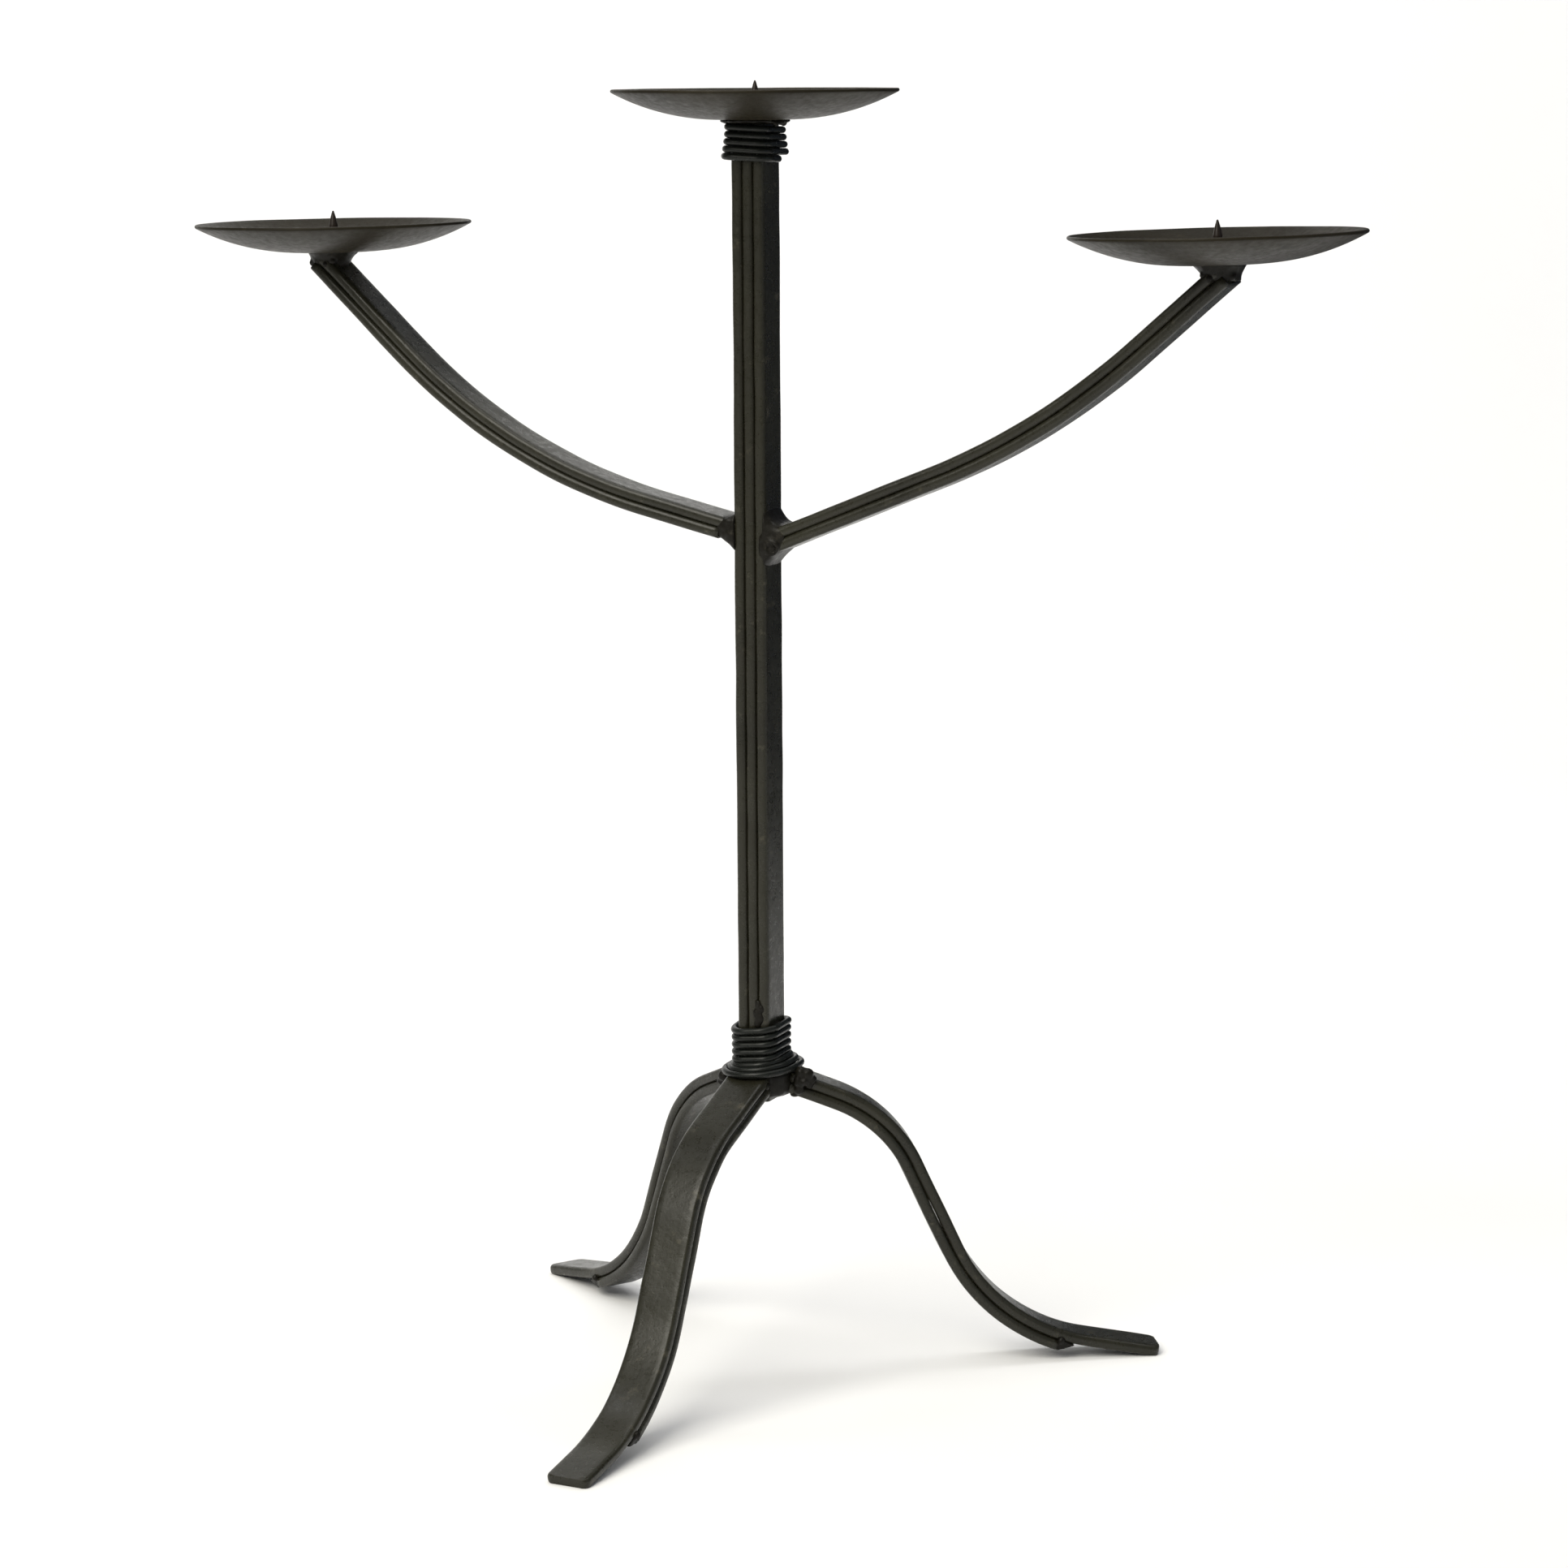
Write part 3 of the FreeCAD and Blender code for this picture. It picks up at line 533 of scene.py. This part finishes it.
# ---------------------------------------------------------------- weld metal
def weld_metal(name, node, lumps, seed, voxel=0.55 * MM, rough=0.30 * MM, skin=None, pit=None, soft=4):
    """Run lumps, and any skin of rings, together into one bead, as weld metal does, and roughen it.

    A lump is a centre and three radii. A pit is a centre, a radius and a depth, and has a raised rim.
    """
    builder = bmesh.new()
    if skin:
        swept(builder, skin)
        bmesh.ops.recalc_face_normals(builder, faces=builder.faces)
    for centre, radii in lumps:
        place = Matrix.Translation(centre) @ Matrix.Diagonal((*radii, 1.0))
        bmesh.ops.create_icosphere(builder, subdivisions=3, radius=1.0, matrix=place)
    piece = object_from(name, builder)
    remesh = piece.modifiers.new("merge", "REMESH")
    remesh.mode = "VOXEL"
    remesh.voxel_size = voxel
    soften = piece.modifiers.new("soften", "SMOOTH")
    soften.iterations = soft
    soften.factor = 0.5
    evaluated = piece.evaluated_get(bpy.context.evaluated_depsgraph_get())
    merged = bpy.data.meshes.new_from_object(evaluated)
    piece.modifiers.clear()
    piece.data = merged
    merged.name = name
    for vertex in merged.vertices:
        push = rough * wander(vertex.co, 0.0022, seed) + rough * wander(vertex.co, 0.006, seed + 4)
        if pit:
            centre, radius, depth = pit
            share = (vertex.co - centre).length / radius
            push += depth * (0.45 * math.exp(-((share - 1.5) / 0.45) ** 2) - math.exp(-share ** 2))
        vertex.co += vertex.normal * push
    merged.shade_smooth()
    merged.materials.clear()
    merged.materials.append(WELD_PAINT)
    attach(piece, "root")
    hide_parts(node)
    return piece


def spread_out(low, high, count):
    """Evenly spaced values, both ends among them."""
    return [low + (high - low) * i / (count - 1) for i in range(count)]


def ring_of(centre, reach, count, radii):
    """Lumps all of one size, set in a circle."""
    lumps = []
    for i in range(count):
        angle = 2 * math.pi * i / count
        lumps.append((Vector(centre) + Vector((reach * math.cos(angle), reach * math.sin(angle), 0)), radii))
    return lumps


def arm_collar(side, length, rise, drop, beside):
    """Sections of a hollow-sided fillet around an arm's root, from inside the stem's face outward.

    Each section is a rounded box about both bars, which sinks into them at the fillet's outer end.
    """
    arm = ARMS[side]
    slope = math.radians(arm["root"])
    half = THICK / math.cos(slope)
    inside = 0.6 * MM
    hollow, squareness = 2.3, 0.45
    steps, corners = 14, 40
    rings = []
    for i in range(steps + 1):
        share = i / steps
        reach = HALF_X - inside + share * (length + inside)
        flare = (1 - share) ** hollow
        joint = arm["knee"][1] - (arm["knee"][0] - reach) * math.tan(slope)
        proud = (0.5 - 0.85 * share ** 3) * MM
        high = joint + half + proud + rise * flare
        low = joint - half - proud - drop * flare
        wide = WIDTH / 2 + proud + beside * flare
        ring = []
        for k in range(corners):
            angle = 2 * math.pi * k / corners
            across = math.copysign(abs(math.cos(angle)) ** squareness, math.cos(angle)) * wide
            upward = math.copysign(abs(math.sin(angle)) ** squareness, math.sin(angle)) * (high - low) / 2
            ring.append(Vector((arm["flip"] * reach, across, (high + low) / 2 + upward)))
        rings.append(ring)
    return rings


def placed(size, *places):
    """Round lumps of one size, both given in millimetres."""
    return [(Vector(place) * MM, (size * MM, size * MM, size * MM)) for place in places]


# Side arms: a smooth collar each, with a few lumps on the left and a pitted blob on the right.
left_lumps = placed(1.3, (-8.2, -7.6, 309.4), (-7.6, -7.9, 305.0), (-9.6, -7.4, 306.8), (-8.8, 7.4, 306.0))
weld_metal(
    "left_arm_weld_bead", "left_arm_weld", left_lumps, seed=61,
    rough=0.12 * MM, soft=8, skin=arm_collar("left", 6.6 * MM, 2.6 * MM, 2.8 * MM, 0.6 * MM),
)
right_lumps = placed(
    2.6, (6.0, -6.9, 299.0), (5.8, -6.8, 301.0), (6.0, -6.8, 303.4), (8.0, -6.9, 299.6), (9.6, -6.6, 301.6),
    (8.2, -6.6, 303.4),
)
weld_metal(
    "right_arm_weld_bead", "right_arm_weld", right_lumps, seed=63, voxel=0.4 * MM, rough=0.10 * MM, soft=14,
    skin=arm_collar("right", 7.4 * MM, 8.4 * MM, 3.6 * MM, 1.0 * MM),
    pit=(Vector((9.0, -9.4, 300.4)) * MM, 1.5 * MM, 1.0 * MM),
)

# Pans: a flat ring of lumps on the stem's top, and a cup that widens upward on each arm's tip.
centre_lumps = ring_of((0, 0, 447.8 * MM), 9.8 * MM, 16, (2.6 * MM, 2.6 * MM, 0.9 * MM))
centre_lumps += placed(1.4, (11.0, -3.0, 447.6), (10.4, 0.5, 447.2), (10.2, -5.4, 447.2))
weld_metal("centre_pan_weld_bead", "centre_pan_weld", centre_lumps, seed=65, rough=0.15 * MM)

CUP_LOW, CUP_HIGH = 6.4 * MM, 9.4 * MM
CUP_STEPS, CUP_SIDES = 10, 36
CUP_HOLLOW = 1.8
CUP_DEEPER = 1.12  # the cup's size front to back, next to its size along the arm
for side, arm in ARMS.items():
    flip = arm["flip"]
    rings = []
    for i in range(CUP_STEPS + 1):
        share = i / CUP_STEPS
        radius = CUP_LOW + (CUP_HIGH - CUP_LOW) * share ** CUP_HOLLOW
        centre = Vector((flip * (168.9 - 1.1 * share) * MM, 0, (395.4 + 5.6 * share) * MM))
        ring = []
        for k in range(CUP_SIDES):
            angle = 2 * math.pi * k / CUP_SIDES
            ring.append(centre + Vector((radius * math.cos(angle), CUP_DEEPER * radius * math.sin(angle), 0)))
        rings.append(ring)
    lumps = placed(
        1.5, (flip * 164.6, -6.4, 397.6), (flip * 167.0, -7.0, 396.4), (flip * 170.4, -6.6, 397.8),
        (flip * 173.6, -4.4, 397.0), (flip * 163.6, 3.0, 397.8), (flip * 167.8, 6.8, 397.0),
    )
    weld_metal(side + "_pan_weld_bead", side + "_pan_weld", lumps, seed=67, rough=0.2 * MM, skin=rings)

# Hub: a plug with a rounded lower edge, given as (reach, height) in millimetres.
HUB_OUTLINE = ((7.5, 102.1), (9.6, 102.3), (11.0, 103.0), (11.9, 104.2), (12.2, 106.0), (12.2, 111.0))
HUB_SIDES = 40
hub = []
for reach, height in HUB_OUTLINE:
    angles = [2 * math.pi * k / HUB_SIDES for k in range(HUB_SIDES)]
    hub.append([Vector((reach * math.cos(angle), reach * math.sin(angle), height)) * MM for angle in angles])
weld_metal("leg_hub_weld_bead", "leg_hub_weld", [], seed=71, voxel=0.6 * MM, rough=0.2 * MM, skin=hub)

# Leg roots: each lump's reach along its leg, place across it, height and size, all in millimetres.
ROOT_LUMPS = {
    "front": ((11.0, 7.2, 107.6, 1.6), (11.0, -7.2, 107.6, 1.6)),
    "right": (
        (13.0, -8.2, 111.0, 2.3), (15.4, -8.4, 110.2, 2.5), (17.4, -8.0, 108.4, 1.8),
        (14.4, -9.4, 108.0, 1.7), (12.4, -8.6, 108.2, 2.2), (16.2, -8.4, 106.6, 1.5),
        (12.4, -8.0, 105.0, 1.9), (12.8, 8.4, 106.4, 2.2),
    ),
    "back": (
        (12.4, 8.4, 107.0, 2.2), (14.2, 8.6, 105.0, 1.7), (12.8, -8.4, 106.6, 2.2),
        (14.8, -8.4, 105.4, 1.5),
    ),
}
for number, (side, (azimuth, _, _)) in enumerate(LEGS.items()):
    turn = Matrix.Rotation(math.radians(azimuth), 3, "Z")
    lumps = []
    for reach, across, height, size in ROOT_LUMPS[side]:
        lumps.append((turn @ (Vector((reach, across, height)) * MM), (size * MM, size * MM, size * MM)))
    for across in spread_out(-6.0, 6.0, 8):
        lumps.append((turn @ (Vector((11.2, across, 102.9)) * MM), (1.9 * MM, 1.9 * MM, 1.2 * MM)))
    weld_metal(
        side + "_leg_weld_bead", side + "_leg_weld", lumps, seed=73 + number,
        voxel=0.45 * MM, rough=0.28 * MM, soft=6,
    )

# Stem seam: a short run of flat lumps down the joint between two of its bars.
SEAM_LUMPS = ((2.2, 136.4, 1.4), (3.4, 134.9, 1.2), (1.6, 133.2, 1.5), (2.6, 131.2, 1.7), (2.0, 129.4, 1.5))
seam = [
    (Vector((x * MM, -HALF_Y, z * MM)), (size * MM, 0.8 * MM, 1.3 * size * MM)) for x, z, size in SEAM_LUMPS
]
weld_metal("stem_seam_weld_bead", "stem_seam_weld", seam, seed=81, voxel=0.35 * MM, rough=0.2 * MM)

# Inner bar ends: a ramp of weld that runs from each end down to the outer bar, its section given as
# distances along the bars and inward from the outer bar's outer face, in millimetres.
RAMP = ((-1.0, 4.5), (-1.0, 7.6), (0.3, 7.9), (1.2, 7.6), (5.6, 4.9), (6.4, 4.1), (3.0, 3.7))
for number, (side, (azimuth, _, _)) in enumerate(LEGS.items()):
    turn = Matrix.Rotation(math.radians(azimuth), 3, "Z")
    (reach, height, _), (_, _, degrees) = INNER_ENDS[side]
    way = heading(degrees)
    rings = []
    for across in spread_out(-7.6, 7.6, 7):
        uneven = 0.4 * wander((0.0, across * MM, 0.0), 0.003, 91 + number)
        ring = []
        for along, depth in RAMP:
            x = reach + (way[1] * depth + way[0] * (along + uneven)) * MM
            z = height + (-way[0] * depth + way[1] * (along + uneven)) * MM
            ring.append(turn @ Vector((x, across * MM, z)))
        rings.append(ring)
    lumps = []
    for across in (-8.0, 8.0):
        x = reach + way[1] * 3.8 * MM + way[0] * 0.6 * MM
        z = height - way[0] * 3.8 * MM + way[1] * 0.6 * MM
        lumps.append((turn @ Vector((x, across * MM, z)), (1.5 * MM,) * 3))
    weld_metal(
        side + "_leg_end_bead", side + "_leg_end_weld", lumps, seed=83 + number,
        voxel=0.5 * MM, rough=0.18 * MM, skin=rings,
    )


# ---------------------------------------------------------------- floor, light and camera
CAMERA_AZIMUTH = 23.7
around = Matrix.Rotation(math.radians(CAMERA_AZIMUTH), 3, "Z")
OBJECT_MIDDLE = Vector((0, 0, 0.25))


def matt_cloth(name, low, high):
    """A dull material, faintly clouded between two colours."""
    material, tree, shader = noded_material(name)
    shader.inputs["Roughness"].default_value = 0.9
    tone = ramp(tree, clouds(tree, 3.0), (0.0, low), (1.0, high))
    tree.links.new(tone.outputs["Color"], shader.inputs["Base Color"])
    return material


def sweep_of_paper():
    """A floor that curves up behind the object."""
    front, curve_start, radius, top, half_width = -3.0, 1.2, 1.0, 4.0, 5.0
    profile = [(front, 0.0), (curve_start, 0.0)]
    for degrees in range(6, 91, 6):
        angle = math.radians(degrees)
        profile.append((curve_start + radius * math.sin(angle), radius - radius * math.cos(angle)))
    profile.append((curve_start + radius, top))
    builder = bmesh.new()
    rows = [[builder.verts.new((x, y, z)) for x in (-half_width, half_width)] for y, z in profile]
    for low, high in zip(rows, rows[1:]):
        builder.faces.new((low[0], low[1], high[1], high[0]))
    floor = object_from("studio_floor", builder)
    floor.data.shade_smooth()
    floor.data.materials.append(matt_cloth("studio_paper", (0.90, 0.90, 0.90), (0.94, 0.94, 0.94)))
    floor.rotation_euler.z = math.radians(CAMERA_AZIMUTH)


def dark_flag(azimuth, distance, width, height):
    """A dark card that only gloss sees, which keeps the far side faces from mirroring the pale paper."""
    angle = math.radians(azimuth)
    middle = Vector((math.sin(angle), -math.cos(angle), 0)) * distance
    along = Vector((math.cos(angle), math.sin(angle), 0)) * width / 2
    corners = [middle - along, middle + along, middle + along, middle - along]
    heights = (0.01, 0.01, height, height)
    builder = bmesh.new()
    builder.faces.new([builder.verts.new((c.x, c.y, z)) for c, z in zip(corners, heights)])
    flag = object_from("dark_flag", builder)
    flag.data.materials.append(matt_cloth("flag_cloth", (0.012, 0.018, 0.035), (0.018, 0.026, 0.045)))
    flag.visible_camera = False
    flag.visible_diffuse = False
    flag.visible_shadow = False


def soft_box(name, place, aim, size, energy, colour=(1.0, 1.0, 1.0)):
    """A rectangular light at a place, shining along aim."""
    data = bpy.data.lights.new(name, "AREA")
    data.shape = "RECTANGLE"
    data.size, data.size_y = size
    data.energy = energy
    data.color = colour
    lamp = linked(name, data)
    lamp.location = place
    lamp.rotation_euler = aim.to_track_quat("-Z", "Y").to_euler()


def object_light(name, azimuth, elevation, distance, size, energy, colour):
    """A soft box aimed at the middle of the object, its azimuth measured like the camera's."""
    a, e = math.radians(azimuth), math.radians(elevation)
    way = Vector((math.sin(a) * math.cos(e), -math.cos(a) * math.cos(e), math.sin(e)))
    soft_box(name, OBJECT_MIDDLE + way * distance, -way, size, energy, colour)


sweep_of_paper()
object_light(
    "key_light", CAMERA_AZIMUTH - 38, elevation=42, distance=2.2,
    size=(1.5, 1.5), energy=44, colour=(1.0, 0.97, 0.88),
)
object_light(
    "top_light", CAMERA_AZIMUTH - 10, elevation=80, distance=2.2,
    size=(1.8, 1.8), energy=15, colour=(1.0, 0.98, 0.94),
)
object_light(
    "fill_light", CAMERA_AZIMUTH + 60, elevation=15, distance=2.4,
    size=(1.2, 1.6), energy=2.0, colour=(0.45, 0.65, 1.0),
)
dark_flag(CAMERA_AZIMUTH + 180 - 47, distance=0.75, width=1.1, height=1.2)
soft_box(
    "backdrop_light", around @ Vector((0, 0.5, 1.9)), around @ Vector((0, 1.5, -1.5)),
    size=(3.0, 0.6), energy=24,
)

world = bpy.data.worlds.new("studio")
bpy.context.scene.world = world
world.use_nodes = True
background = world.node_tree.nodes["Background"]
background.inputs["Color"].default_value = (1.0, 1.0, 1.0, 1.0)
background.inputs["Strength"].default_value = 0.22

SENSOR = 36.0
LENS = SENSOR * 2.64078675  # a long lens, in millimetres like the sensor
CAMERA_PLACE = Vector((0, -1.450, 0.469))  # before its turn to the azimuth
camera_data = bpy.data.cameras.new("camera")
camera_data.sensor_width = SENSOR
camera_data.lens = LENS
camera_data.clip_end = 50.0
camera = linked("camera", camera_data)
bpy.context.scene.camera = camera
pitch, yaw, roll = math.radians(9.94), math.radians(0.34), math.radians(0.35)
right = around @ Vector((math.cos(yaw), -math.sin(yaw), 0))
forward = around @ Vector((
    math.sin(yaw) * math.cos(pitch), math.cos(yaw) * math.cos(pitch), -math.sin(pitch),
))
up = right.cross(forward)
rolled_right = right * math.cos(roll) - up * math.sin(roll)
rolled_up = right * math.sin(roll) + up * math.cos(roll)
basis = Matrix((rolled_right, rolled_up, -forward)).transposed().to_4x4()
camera.matrix_world = Matrix.Translation(around @ CAMERA_PLACE) @ basis

bpy.context.scene.view_settings.view_transform = "Standard"
